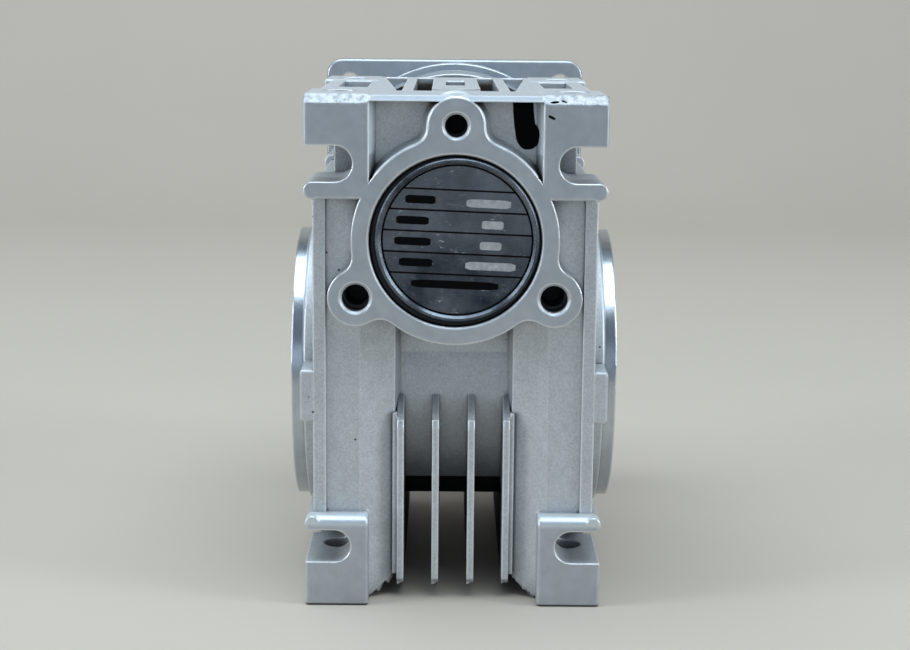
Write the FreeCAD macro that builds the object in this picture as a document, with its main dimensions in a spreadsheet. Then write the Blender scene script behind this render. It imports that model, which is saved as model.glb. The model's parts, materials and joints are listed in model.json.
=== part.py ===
"""Size 30 worm gear reducer: a parametric FreeCAD document and one STEP file for each piece.

The origin is the centre of the hollow output shaft. +X runs along the output axis, +Y along the
worm axis towards the motor flange, and +Z is up. All sizes are in millimetres.
"""
import FreeCAD, Part
import math
import os
import re
import Sketcher
from FreeCAD import Placement, Rotation, Vector

SIZES = {
    # Main stations of the cast case
    "base_drop": 40.0,            # output axis down to the feet
    "top_rise": 57.0,             # output axis up to the top face
    "end_y": 40.0,                # output axis to each end face of the case
    "centre_distance": 30.0,      # output axis up to the worm axis
    "foot_x": 28.0,
    "wall_x": 26.6,
    "wall_step_x": 24.2,
    "panel_y": 36.0,
    "strip_y": 36.6,
    "panel_inner_x": 17.8,
    "slant_end_x": 11.2,
    "slant_end_y": 33.0,
    "recess_y": 27.0,
    "recess_x": 10.4,
    "recess_top": 16.5,
    "skirt_drop": 39.4,
    "skirt_inner_drop": 34.8,
    "skirt_break_x": 15.8,
    "hollow_inner_x": 13.5,
    "hollow_outer_x": 23.5,
    "hollow_near_y": 6.5,
    "hollow_far_y": 16.5,
    "hollow_top": -30.0,
    # Corner blocks with their side slots and foot holes
    "foot_inner_x": 16.1,
    "block_back_y": 20.0,
    "foot_rise": 17.5,
    "foot_slot_low": 8.6,
    "foot_slot_high": 14.8,
    "foot_slot_x": 19.4,
    "lug_inner_x": 15.9,
    "lug_low": 37.7,
    "lug_slot_low": 40.9,
    "lug_slot_high": 47.6,
    "lug_slot_x": 19.0,
    "foot_hole_x": 22.0,
    "foot_hole_y": 27.0,
    "foot_hole_r": 3.25,
    "lug_hole_r": 3.45,
    "edge_round": 0.6,
    "bevel": 1.6,
    "slope_x": 14.9,
    # Top deck
    "deck_sink": 0.2,
    "deck_front_y": 39.8,
    "deck_lip": 1.3,
    "deck_bevel": 1.1,
    "core_half_x": 23.6,
    "deck_half_x": 26.2,
    "deck_thick": 5.0,
    "deck_pocket": 4.5,
    "deck_boss_r": 6.5,
    "deck_boss_y": 14.0,
    "middle_pocket_x": 2.0,
    "middle_pocket_near_y": 1.0,
    "middle_pocket_far_y": 21.0,
    "long_pocket_inner_x": 4.7,
    "long_pocket_outer_x": 8.3,
    "pocket_near_y": -22.0,
    "pocket_far_y": 36.0,
    "corner_pocket_inner_x": 10.4,
    "corner_pocket_near_x": 11.4,
    "corner_pocket_far_x": 15.4,
    "side_pocket_inner_x": 17.5,
    "side_pocket_outer_x": 23.4,
    "side_pocket_near_y": -9.0,
    "side_pocket_far_y": 17.7,
    # Cooling fins
    "fin_width": 1.3,
    "fin_near_x": 3.4,
    "fin_far_x": 10.1,
    "fin_y": 35.4,
    "fin_drop": 37.0,
    "fin_top": -0.8,
    "fin_nose_top": -4.4,
    "fin_nose": 1.0,
    "ridge_width": 0.8,
    "ridge_y": 34.2,
    "ridge_drop": 35.4,
    "ridge_top": -3.6,
    # Worm housing
    "tube_r": 19.3,
    "ear_r": 5.25,
    "ear_pitch_r": 21.3,
    "ear_blend": 3.5,
    "ear_hole_r": 2.55,
    "ear_top_hole_r": 2.1,
    "ear_hole_deep": 14.0,
    "motor_hole_deep": 7.2,
    "motor_tube_r": 22.0,
    "worm_space_r": 11.5,
    "blind_bore_r": 16.0,
    "blind_shoulder_y": 20.9,
    "motor_bore_r": 18.5,
    "motor_shoulder_y": 22.0,
    # Gear chamber and output faces
    "chamber_r": 25.0,
    "chamber_wall_r": 27.3,
    "belly_r": 27.9,
    "belly_step_z": -19.7,
    "cover_bore_r": 26.05,
    "bearing_face_x": 11.0,
    "seat_r": 23.5,
    "shoulder_x": 23.0,
    "shoulder_end_x": 24.3,
    "shoulder_r": 21.0,
    "disc_r": 28.5,
    "disc_x": 29.0,
    "spigot_r": 27.5,
    "spigot_x": 31.5,
    "pad_half": 5.0,
    "pad_reach": 36.5,
    "pad_x": 29.2,
    "pad_overlap": 3.0,
    "output_pitch_r": 32.5,
    "output_hole_r": 2.5,
    "output_hole_deep": 11.0,
    # Side cover
    "cover_floor_x": 23.6,
    "cover_ear_pitch_r": 31.0,
    "cover_ear_r": 5.0,
    "cover_screw_r": 2.0,
    "cover_head_r": 3.8,
    "cover_hole_r": 2.25,
    "cover_head_tall": 1.9,
    "cover_head_gap": 0.2,
    "cover_socket_r": 1.45,
    "cover_socket_deep": 1.5,
    "cover_screw_deep": 5.0,
    "cover_gap": 0.2,
    # Motor flange
    "flange_start_y": 40.5,
    "flange_plate_y": 60.0,
    "flange_end_y": 68.0,
    "flange_half": 30.0,
    "flange_corner_r": 3.6,
    "flange_hub_r": 27.5,
    "flange_step_r": 29.2,
    "flange_step_y": 58.4,
    "flange_bore_r": 13.0,
    "pilot_r": 25.02,
    "pilot_deep": 3.0,
    "motor_hole_half": 24.75,
    "motor_hole_r": 2.1,
    "flange_screw_r": 2.3,
    "flange_hole_r": 2.5,
    "flange_head_r": 4.25,
    "flange_head_gap": 0.3,
    "flange_head_deep": 18.0,
    "flange_head_tall": 5.0,
    "flange_socket_r": 2.31,
    "flange_thread_deep": 6.4,
    # Worm and wheel
    "gear_module": 1.44,
    "pressure_angle": 20.0,
    "root_share": 1.2,
    "thread_overlap": 0.25,
    "worm_starts": 3.0,
    "wheel_teeth": 30.0,
    "worm_pitch_r": 8.4,
    "tooth_backlash": 0.14,
    "worm_half_length": 17.0,
    "wheel_half_width": 7.0,
    "rim_inner_r": 17.0,
    "worm_blind_r": 6.0,
    "worm_motor_r": 10.0,
    "worm_end_y": 64.0,
    "worm_neck_r": 6.6,
    "blind_collar_r": 7.6,
    "blind_collar_w": 1.6,
    "motor_collar_rise": 1.0,
    "motor_collar_w": 2.2,
    "shaft_bevel": 0.5,
    "worm_start_y": 31.0,
    "motor_bore_hole_r": 5.5,
    "motor_bore_deep": 30.0,
    "motor_key_half": 2.0,
    "motor_key_top": 7.3,
    "motor_key_start": 2.0,
    "shaft_r": 12.5,
    "shaft_bore_r": 7.0,
    "shaft_key_half": 2.5,
    "shaft_key_top": 9.3,
    "hub_neck_r": 15.2,
    "hub_web_r": 15.6,
    "rim_step": 0.4,
    # Bearings and seals
    "output_bearing_w": 11.9,
    "blind_bearing_w": 10.0,
    "motor_bearing_w": 9.0,
    "seal_w": 7.0,
    "cap_w": 7.0,
    "cap_web": 2.4,
    "cap_seat_deep": 1.3,
    "cap_plate_r": 15.2,
    "cap_plate_x": 0.35,
    "cap_plate_z": 0.25,
    "cap_wall": 3.0,
    "cap_sink": 0.3,
    "cap_bevel": 0.5,
    "plate_sink": 0.45,
    "plate_rim_w": 0.3,
    "plate_rim_rise": 0.05,
    "plate_rim_slope": 1.1,
    "clip_y": 31.1,
    "blind_clip_y": 32.3,
    "motor_clip_y": 32.6,
    "clip_bite": 0.8,
    "clip_width": 2.0,
    "clip_eye_r": 1.9,
    "clip_eye_hole_r": 0.9,
    "clip_eye_x": 3.6,
    "clip_eye_drop": 3.0,
    "clip_gap_half": 1.4,
    "seal_y": 32.8,
    "spring_in": 1.5,
    "spring_reach": 2.15,
    "spring_r": 0.45,
    "ring_x": 20.8,
    "ring_r": 0.6,
    "ring_space": 0.9,
    "ring_groove_deep": 1.35,
    "race_share": 0.29,
    "race_play": 0.12,
    "pocket_play": 0.06,
    "cage_cover": 0.7,
    "cage_half_wall": 0.55,
    "blind_ball_r": 2.9,
    "motor_ball_r": 2.6,
    "output_ball_r": 3.3,
    # Clearances, mouths of holes, and reach past a face that is cut or joined
    "fit_play": 0.02,
    "play": 0.05,
    "hairline": 0.01,
    "small_step": 0.1,
    "mouth": 0.3,
    "sink": 0.5,
    "over": 1.0,
}

doc = FreeCAD.newDocument("worm_gearbox")
sheet = doc.addObject("Spreadsheet::Sheet", "Sizes")
for row, (alias, number) in enumerate(SIZES.items(), start=1):
    sheet.set(f"A{row}", alias)
    sheet.set(f"B{row}", str(number))
    sheet.setAlias(f"B{row}", alias)
doc.recompute()

NODES = []
TURN = {
    "X": Rotation(Vector(0, 1, 0), 90),
    "Y": Rotation(Vector(1, 0, 0), -90),
    "Z": Rotation(),
}
WORM_PLACE = Placement(Vector(0, 0, SIZES["centre_distance"]), Rotation(Vector(0, 0, 1), 90))


def bound(expression):
    """The expression with each sheet alias written the way the expression engine reads it."""
    return re.sub(r"[a-z]\w+", lambda word: f"Sizes.{word[0]}" if word[0] in SIZES else word[0],
                  str(expression))


def value(expression):
    """The number that an expression of sheet aliases stands for."""
    cells = {alias: float(sheet.get(alias)) for alias in SIZES}
    text = str(expression)
    for alias in sorted(cells, key=len, reverse=True):
        text = re.sub(rf"\b{alias}\b", repr(cells[alias]), text)
    return float(FreeCAD.Units.parseQuantity(text).Value)


def add(kind, label):
    """A new document object with its label."""
    thing = doc.addObject(kind, label)
    thing.Label = label
    return thing


def node(thing, label):
    """Marks an object as one finished piece."""
    thing.Label = label
    NODES.append(thing)
    return thing


def place(thing, point):
    """Binds where an object stands."""
    for letter, expression in zip("xyz", point):
        thing.setExpression(f"Placement.Base.{letter}", bound(expression))


def box(label, low, high):
    """A box between two corners."""
    block = add("Part::Box", label)
    for prop, start, stop in zip(("Length", "Width", "Height"), low, high):
        block.setExpression(prop, f"({bound(stop)}) - ({bound(start)})")
    place(block, low)
    return block


def cylinder(label, axis, radius, start, stop, centre=("0", "0")):
    """A round bar along an axis. The centre gives the other two coordinates, in X, Y, Z order."""
    bar = add("Part::Cylinder", label)
    bar.Placement = Placement(Vector(), TURN[axis])
    bar.setExpression("Radius", bound(radius))
    bar.setExpression("Height", f"({bound(stop)}) - ({bound(start)})")
    point = list(centre)
    point.insert("XYZ".index(axis), start)
    place(bar, point)
    return bar


def cone(label, axis, radii, start, stop, centre=("0", "0")):
    """A tapered bar, from the first radius at its start to the second at its end."""
    taper = add("Part::Cone", label)
    taper.Placement = Placement(Vector(), TURN[axis])
    taper.setExpression("Radius1", bound(radii[0]))
    taper.setExpression("Radius2", bound(radii[1]))
    taper.setExpression("Height", f"({bound(stop)}) - ({bound(start)})")
    point = list(centre)
    point.insert("XYZ".index(axis), start)
    place(taper, point)
    return taper


def mouth(label, axis, radius, face, way, width, centre=("0", "0")):
    """The tool for a chamfer round a hole's mouth. The way is "-" where the face looks back."""
    radii = (f"{radius}+{width}-over", f"{radius}+{width}+over")
    return cone(label, axis, radii[::-1] if way else radii, f"({face})-over", f"({face})+over",
                centre)


def hexagon(label, axis, radius, start, tall, centre):
    """A six-sided bar along an axis, for a screw's socket."""
    bar = add("Part::Prism", label)
    bar.Polygon = 6
    bar.Placement = Placement(Vector(), TURN[axis])
    bar.setExpression("Circumradius", bound(radius))
    bar.setExpression("Height", bound(tall))
    point = list(centre)
    point.insert("XYZ".index(axis), start)
    place(bar, point)
    return bar


def fuse(label, shapes):
    """One solid from several."""
    joined = add("Part::MultiFuse", label)
    joined.Shapes = shapes
    joined.Refine = True
    return joined


def cut(label, base, tools):
    """The base less all the tools."""
    result = add("Part::Cut", label)
    result.Base = base
    result.Tool = tools[0] if len(tools) == 1 else fuse(f"{label}_tools", tools)
    result.Refine = True
    return result


def group(label, shapes):
    """Several separate solids in one piece's file."""
    bundle = add("Part::Compound", label)
    bundle.Links = shapes
    return bundle


def soften(label, base, radius_of):
    """Rounds an object's edges. radius_of gives each edge's radius, or nothing to leave it."""
    doc.recompute()
    softened = add("Part::Fillet", label)
    softened.Base = base
    softened.Edges = [(index, value(radius_of(edge)), value(radius_of(edge)))
                      for index, edge in enumerate(base.Shape.Edges, start=1) if radius_of(edge)]
    return softened


def feature(label, shape):
    """A shape made with Part's own functions from sizes read off the sheet."""
    thing = add("Part::Feature", label)
    thing.Shape = shape
    return thing


def prism(label, points, low, high):
    """An upright prism over a plan outline."""
    outline = [Vector(value(across), value(along), value(low)) for across, along in points]
    face = Part.Face(Part.makePolygon(outline + outline[:1]))
    return feature(label, face.extrude(Vector(0, 0, value(high) - value(low))))


def slab(label, section, start, stop):
    """A bar along X whose section is an outline of (Y, Z) points."""
    outline = [Vector(value(start), value(along), value(height)) for along, height in section]
    face = Part.Face(Part.makePolygon(outline + outline[:1]))
    return feature(label, face.extrude(Vector(value(stop) - value(start), 0, 0)))


def flipped(points):
    """A plan outline carried to the other side of the middle plane."""
    return [(f"-({across})", along) for across, along in points]


def turned(label, profile, along_worm=False):
    """A body turned from a profile of (place along the axis, radius) points."""
    body = add("PartDesign::Body", label)
    planes = {plane.Role: plane for plane in body.Origin.OriginFeatures}
    sketch = body.newObject("Sketcher::SketchObject", f"{label}_profile")
    sketch.AttachmentSupport = [(planes["XY_Plane"], "")]
    sketch.MapMode = "FlatFace"
    points = [Vector(value(along), value(radius), 0) for along, radius in profile]
    for start, stop in zip(points, points[1:] + points[:1]):
        sketch.addGeometry(Part.LineSegment(start, stop))
    count = len(points)
    for index in range(count):
        sketch.addConstraint(Sketcher.Constraint("Coincident", index, 2, (index + 1) % count, 1))
    for index, (along, radius) in enumerate(profile):
        for kind, expression in (("DistanceX", along), ("DistanceY", radius)):
            number = sketch.addConstraint(
                Sketcher.Constraint(kind, -1, 1, index, 1, value(expression)))
            sketch.setExpression(f"Constraints[{number}]", bound(expression))
    spin = body.newObject("PartDesign::Revolution", f"{label}_turn")
    spin.Profile = sketch
    spin.ReferenceAxis = (sketch, ["H_Axis"])
    spin.Angle = 360
    body.Tip = spin
    if along_worm:
        body.Placement = WORM_PLACE
    return body


def ring_profile(start, stop, inner, outer):
    """The four corners of a plain ring's section."""
    return [(start, inner), (stop, inner), (stop, outer), (start, outer)]


# ---- Cast case ------------------------------------------------------------------------------

SIDES = (("left", "-"), ("right", ""))
ENDS = (("blind", "-"), ("motor", ""))


def span(sign, near, far):
    """A stretch from near to far on the side that the sign names, in rising order."""
    return (f"-({far})", f"-({near})") if sign else (near, far)


def case_columns():
    """The side columns: a flat panel, a proud outer strip and a slanted wall into the recess."""
    plan = [
        ("wall_x", "-strip_y"), ("wall_step_x", "-strip_y"), ("wall_step_x", "-panel_y"),
        ("panel_inner_x", "-panel_y"), ("slant_end_x", "-slant_end_y"),
        ("recess_x", "-recess_y"), ("recess_x", "recess_y"), ("slant_end_x", "slant_end_y"),
        ("panel_inner_x", "panel_y"), ("wall_step_x", "panel_y"), ("wall_step_x", "strip_y"),
        ("wall_x", "strip_y"),
    ]
    low, high = "-skirt_drop", "lug_low+2*over"
    columns = []
    for name, sign in SIDES:
        outline = flipped(plan) if sign else plan
        column = prism(f"column_{name}", outline, low, high)
        columns.append(cut(f"column_cut_{name}", column, column_hollows(name, sign)))
    return columns


def column_hollows(name, sign):
    """What is missing under a column: its slanted lower inner edge and two open pockets."""
    floor = "-base_drop-over"
    edge = [
        ("skirt_break_x+over", floor), ("skirt_break_x", "-skirt_drop"),
        ("recess_x", "-skirt_inner_drop"), ("recess_x-over", "-skirt_inner_drop"),
        ("recess_x-over", floor),
    ]
    outline = [Vector(value(f"{sign}({across})"), value("-end_y"), value(height))
               for across, height in edge]
    face = Part.Face(Part.makePolygon(outline + outline[:1]))
    tools = [feature(f"skirt_edge_{name}", face.extrude(Vector(0, 2 * value("end_y"), 0)))]
    across = span(sign, "hollow_inner_x", "hollow_outer_x")
    for end, way in ENDS:
        along = span(way, "hollow_near_y", "hollow_far_y")
        tools.append(box(f"hollow_{name}_{end}", (across[0], along[0], floor),
                         (across[1], along[1], "hollow_top")))
    return tools


def corner_block(label, x_sign, section, inner):
    """A foot or lug with softened edges. A foot's top front edge is the roundest."""
    body = slab(f"{label}_body", section, *span(x_sign, inner, "foot_x"))

    def radius_of(edge):
        middle = edge.BoundBox.Center
        on_face = abs(abs(middle.y) - value("end_y")) < 0.01
        on_top = abs(middle.z - value("-base_drop+foot_rise")) < 0.01
        return "bevel" if on_face and on_top else "edge_round"

    return soften(f"{label}_soft", body, radius_of)


def side_slot(label, x_sign, y_sign, low, high, slot_x):
    """The tools for a slot that is open towards the side and has a round inner end."""
    half, middle = f"(({high})-({low}))/2", f"(({high})+({low}))/2"
    open_x = span(x_sign, f"{slot_x}+{half}", "foot_x+over")
    open_y = span(y_sign, "block_back_y-over", "end_y+over")
    return [
        cylinder(f"{label}_end", "Y", half, *open_y, (f"{x_sign}({slot_x}+{half})", middle)),
        box(f"{label}_slot", (open_x[0], open_y[0], low), (open_x[1], open_y[1], high)),
    ]


def lip_end(label, x_sign, y_sign, low, high):
    """A round end for the lip beside a slot, and the tool that clears its place."""
    half, middle = f"(({high})-({low}))/2", f"(({high})+({low}))/2"
    across = span(x_sign, f"foot_x-{half}", "foot_x+over")
    along, clear = span(y_sign, "block_back_y", "end_y"), \
        span(y_sign, "block_back_y-over/2", "end_y+over")
    tool = box(f"{label}_clear", (across[0], clear[0], f"{low}-over/2"),
               (across[1], clear[1], f"{high}+over/2"))
    return tool, cylinder(f"{label}_lip", "Y", half, *along,
                          (f"{x_sign}(foot_x-{half})", middle))


def case_corners():
    """Four feet and four lugs, the tools for their slots and holes, and their lips' ends."""
    blocks, tools, lips = [], [], []
    foot_top, foot_high = "-base_drop+foot_rise", "-base_drop+foot_slot_high"
    for x_name, x_sign in SIDES:
        for y_name, y_sign in ENDS:
            name = f"{x_name}_{y_name}"
            face, back, worn = (f"{y_sign}{size}" for size in
                                ("end_y", "block_back_y", "(end_y-bevel)"))
            foot = [(face, "-base_drop"), (face, foot_top), (back, foot_top),
                    (back, "-base_drop")]
            lug = [(face, "lug_low"), (face, "top_rise-bevel"), (worn, "top_rise"),
                   (back, "top_rise"), (back, "lug_low")]
            blocks.append(corner_block(f"foot_{name}", x_sign, foot, "foot_inner_x"))
            blocks.append(corner_block(f"lug_{name}", x_sign, lug, "lug_inner_x"))
            tools += side_slot(f"foot_{name}", x_sign, y_sign, "-base_drop+foot_slot_low",
                               foot_high, "foot_slot_x")
            tools += side_slot(f"lug_{name}", x_sign, y_sign, "lug_slot_low", "lug_slot_high",
                               "lug_slot_x")
            for part, low, high in (("foot", foot_high, foot_top),
                                    ("lug", "lug_low", "lug_slot_low")):
                tool, lip = lip_end(f"{part}_{name}", x_sign, y_sign, low, high)
                tools.append(tool)
                lips.append(lip)
            centre = (f"{x_sign}foot_hole_x", f"{y_sign}foot_hole_y")
            tools.append(cylinder(f"foot_hole_{name}", "Z", "foot_hole_r", "-base_drop-over",
                                  "-base_drop+foot_slot_low+over", centre))
            tools.append(cylinder(f"lug_hole_{name}", "Z", "lug_hole_r", "lug_slot_high-over",
                                  "top_rise+over", centre))
    return blocks, tools, lips


def case_middle():
    """The solid middle of the case round the gear chamber and up to the deck."""
    upper = box("upper_core", ("-core_half_x", "-panel_y", "recess_top"),
                ("core_half_x", "panel_y", "top_rise-2*deck_sink"))
    shelf = box("deck_shelf", ("-deck_half_x", "-block_back_y-over", "top_rise-deck_thick-over"),
                ("deck_half_x", "block_back_y+over", "top_rise-deck_sink"))
    lower = box("lower_core", ("-recess_x-over/2", "-recess_y", "0"),
                ("recess_x+over/2", "recess_y", "recess_top+over"))
    wall = cylinder("chamber_wall", "X", "chamber_wall_r", "-recess_x-over/2", "recess_x+over/2")
    belly = cut("belly", cylinder("belly_round", "X", "belly_r", "-recess_x-over/2",
                                  "recess_x+over/2"),
                [box("belly_under", ("-recess_x-over", "-belly_r-over", "-belly_r-over"),
                     ("recess_x+over", "belly_r+over", "belly_step_z"))])
    edge, top = "deck_front_y", "top_rise-deck_sink"
    section = [
        (f"-{edge}", "top_rise-deck_lip"), (f"-{edge}", f"{top}-deck_bevel"),
        (f"-{edge}+deck_bevel", top), (f"{edge}-deck_bevel", top),
        (edge, f"{top}-deck_bevel"), (edge, "top_rise-deck_lip"),
    ]
    deck = slab("deck", section, "-lug_inner_x-over", "lug_inner_x+over")
    slope = [
        ("slope_x", "-panel_y+over"), ("slope_x", "-panel_y"),
        ("lug_inner_x+small_step", "-end_y+small_step"),
        ("lug_inner_x+over", "-end_y+small_step"), ("lug_inner_x+over", "-panel_y+over"),
    ]
    slopes = []
    for name, sign in SIDES:
        for end, way in ENDS:
            plan = flipped(slope) if sign else slope
            plan = plan if way else [(across, f"-({along})") for across, along in plan]
            slopes.append(prism(f"slope_{name}_{end}", plan, "lug_low+over", "top_rise-deck_lip"))
    return [upper, shelf, lower, wall, belly, deck] + slopes


def deck_pockets():
    """Pockets in the top deck. The ribs between them run along the worm, bar one slanting pair."""
    low, high = "top_rise-deck_pocket", "top_rise+over"
    tools = [box("pocket_middle", ("-middle_pocket_x", "middle_pocket_near_y", low),
                 ("middle_pocket_x", "middle_pocket_far_y", high))]
    corner = [
        ("corner_pocket_inner_x", "pocket_near_y"), ("corner_pocket_near_x", "pocket_near_y"),
        ("corner_pocket_far_x", "pocket_far_y"), ("corner_pocket_inner_x", "pocket_far_y"),
    ]
    for name, sign in SIDES:
        across = span(sign, "long_pocket_inner_x", "long_pocket_outer_x")
        tools.append(box(f"pocket_long_{name}", (across[0], "pocket_near_y", low),
                         (across[1], "pocket_far_y", high)))
        tools.append(prism(f"pocket_corner_{name}", flipped(corner) if sign else corner,
                           low, high))
        across = span(sign, "side_pocket_inner_x", "side_pocket_outer_x")
        tools.append(box(f"pocket_side_{name}", (across[0], "side_pocket_near_y", low),
                         (across[1], "side_pocket_far_y", high)))
    return tools


def end_boss(name, sign, tube_r):
    """The worm housing's end: a ring with three eared bolt holes, blended into each other."""
    start, stop = span(sign, "recess_y-over", "end_y")
    tube = cylinder(f"{name}_ring", "Y", tube_r, start, stop, ("0", "centre_distance"))
    pieces = [tube]
    edges_at = value(tube_r)
    for index in range(3):
        angle = math.radians(90 + 120 * index)
        across = f"ear_pitch_r*{math.cos(angle):.6f}"
        height = f"centre_distance+ear_pitch_r*{math.sin(angle):.6f}"
        pieces.append(cylinder(f"{name}_ear_{index}", "Y", "ear_r", start, stop, (across, height)))
        web = add("Part::Box", f"{name}_web_{index}")
        web.setExpression("Length", bound("ear_pitch_r"))
        web.setExpression("Width", bound(f"({stop})-({start})"))
        web.setExpression("Height", bound("2*ear_r"))
        turn = Rotation(Vector(0, 1, 0), -math.degrees(angle))
        corner = turn.multVec(Vector(0, 0, -value("ear_r")))
        web.Placement = Placement(Vector(), turn)
        place(web, (f"{corner.x:.6f}", start, f"centre_distance+({corner.z:.6f})"))
        pieces.append(web)
    whole = fuse(f"{name}_boss_raw", pieces)

    def radius_of(edge):
        middle = edge.BoundBox.Center
        reach = math.hypot(middle.x, middle.z - value("centre_distance"))
        straight = edge.BoundBox.YLength > 3 and edge.BoundBox.XLength < 0.01
        return "ear_blend" if straight and abs(reach - edges_at) < 0.05 else None

    return soften(f"{name}_boss", whole, radius_of)


def case_fins():
    """Four upright cooling fins between the legs, with the outer pair's ridges on the walls."""
    end = [
        ("fin_y-fin_nose", "-fin_drop"), ("fin_y", "-fin_drop+fin_nose"),
        ("fin_y", "fin_nose_top-2*fin_nose"), ("fin_y-fin_nose/2", "fin_nose_top-fin_nose/2"),
        ("fin_y-2*fin_nose", "fin_nose_top+fin_nose/2"), ("recess_y", "fin_top"),
    ]
    section = end + [(f"-({along})", height) for along, height in reversed(end)]
    fins = []
    for index, middle in enumerate(("-fin_far_x", "-fin_near_x", "fin_near_x", "fin_far_x")):
        fins.append(slab(f"fin_{index}", section, f"{middle}-fin_width/2",
                         f"{middle}+fin_width/2"))
    for x_name, x_sign in SIDES:
        across = span(x_sign, "slant_end_x-ridge_width/2", "slant_end_x+ridge_width/2")
        for y_name, y_sign in ENDS:
            along = span(y_sign, "recess_y", "ridge_y")
            fins.append(box(f"ridge_{x_name}_{y_name}",
                            (across[0], along[0], "-ridge_drop"),
                            (across[1], along[1], "ridge_top")))
    return fins


def output_faces():
    """The round output faces with their spigots and the bolt pads at each end."""
    pieces = [
        cylinder("output_disc_left", "X", "disc_r", "-disc_x", "-recess_x"),
        cylinder("output_spigot_left", "X", "spigot_r", "-spigot_x", "-recess_x"),
    ]
    for x_name, x_sign in SIDES:
        across, clear = span(x_sign, "wall_step_x", "pad_x"), span(x_sign, "disc_x", "disc_x+over")
        for y_name, y_sign in ENDS:
            along = span(y_sign, "disc_r-pad_overlap", "pad_reach")
            pad = box(f"pad_{x_name}_{y_name}", (across[0], along[0], "-pad_half"),
                      (across[1], along[1], "pad_half"))
            soft = soften(f"pad_soft_{x_name}_{y_name}", pad, lambda edge: "edge_round")
            relief = cylinder(f"pad_relief_{x_name}_{y_name}", "X", "disc_r", *clear)
            pieces.append(cut(f"pad_cut_{x_name}_{y_name}", soft, [relief]))
    return pieces


def output_holes():
    """Four tapped holes in each output face."""
    tools = []
    for x_name, x_sign in SIDES:
        start, stop = span(x_sign, "disc_x-output_hole_deep", "disc_x+2")
        for index in range(4):
            angle = math.radians(90 * index)
            centre = (f"output_pitch_r*{math.cos(angle):.4f}",
                      f"output_pitch_r*{math.sin(angle):.4f}")
            label = f"output_hole_{x_name}_{index}"
            tools.append(cylinder(label, "X", "output_hole_r", start, stop, centre))
    return tools


def ear_holes():
    """Three tapped holes with small countersinks at each end of the worm housing."""
    tools = []
    for name, sign in ENDS:
        for index in range(3):
            angle = math.radians(90 + 120 * index)
            blind_r = "ear_hole_r" if index else "ear_top_hole_r"
            radius = blind_r if sign else "flange_screw_r+play"
            centre = (f"ear_pitch_r*{math.cos(angle):.6f}",
                      f"centre_distance+ear_pitch_r*{math.sin(angle):.6f}")
            deep = "ear_hole_deep" if sign else "motor_hole_deep"
            start, stop = span(sign, f"end_y-{deep}", "end_y+over")
            tools.append(cylinder(f"{name}_hole_{index}", "Y", radius, start, stop, centre))
            tools.append(mouth(f"{name}_sink_{index}", "Y", radius, f"{sign}end_y", sign, "sink",
                               centre))
    return tools


def case_cavities():
    """The gear chamber, the worm space, and the bearing, seal and cap seats."""
    axis = ("0", "centre_distance")
    tools = [
        cylinder("chamber", "X", "chamber_r", "-bearing_face_x", "bearing_face_x+over"),
        cylinder("cover_bore", "X", "cover_bore_r", "bearing_face_x", "wall_x+over"),
        cylinder("cover_recess", "X", "disc_r+play", "cover_floor_x", "disc_x+3"),
        cylinder("left_seat", "X", "seat_r+fit_play", "-shoulder_x", "-bearing_face_x+over"),
        cylinder("left_shoulder", "X", "shoulder_r", "-shoulder_end_x-over", "-shoulder_x+over"),
        cylinder("left_seal_seat", "X", "seat_r+fit_play", "-spigot_x-over", "-shoulder_end_x"),
        cylinder("worm_space", "Y", "worm_space_r", "-blind_shoulder_y-over",
                 "motor_shoulder_y+over", axis),
        cylinder("blind_bore", "Y", "blind_bore_r", "-end_y-over", "-blind_shoulder_y", axis),
        mouth("blind_chamfer", "Y", "blind_bore_r", "-end_y", "-", "mouth", axis),
        cylinder("blind_groove", "Y", "blind_bore_r+clip_bite+play", "-blind_clip_y-play",
                 "-clip_y+play", axis),
        cylinder("motor_bore", "Y", "motor_bore_r", "motor_shoulder_y", "end_y+over", axis),
        cylinder("motor_groove", "Y", "motor_bore_r+clip_bite+play", "clip_y-play",
                 "motor_clip_y+play", axis),
    ]
    for index in range(4):
        angle = math.radians(45 + 90 * index)
        centre = (f"cover_ear_pitch_r*{math.cos(angle):.6f}",
                  f"cover_ear_pitch_r*{math.sin(angle):.6f}")
        tools.append(cylinder(f"cover_ear_recess_{index}", "X", "cover_ear_r+play",
                              "cover_floor_x", "wall_x+3", centre))
        tools.append(cylinder(f"cover_tap_{index}", "X", "cover_screw_r+play",
                              "cover_floor_x-cover_screw_deep-sink", "cover_floor_x+over", centre))
    return tools


def make_housing():
    """The cast case in one piece."""
    blocks, corner_tools, lips = case_corners()
    solids = case_columns() + case_middle() + blocks + case_fins() + output_faces()
    solids.append(cylinder("top_boss", "Z", "deck_boss_r", "top_rise-deck_pocket-over", "top_rise",
                           ("0", "-deck_boss_y")))
    blank = fuse("case_blank", solids)
    carved = cut("case_carved", blank, corner_tools + deck_pockets())
    boss = [end_boss("blind", "-", "tube_r"), end_boss("motor", "", "motor_tube_r")]
    bossed = fuse("case_bossed", [carved] + boss + lips)
    tools = case_cavities() + ear_holes() + output_holes()
    return node(cut("housing_cut", bossed, tools), "housing")


# ---- Side cover and motor flange ------------------------------------------------------------


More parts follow.
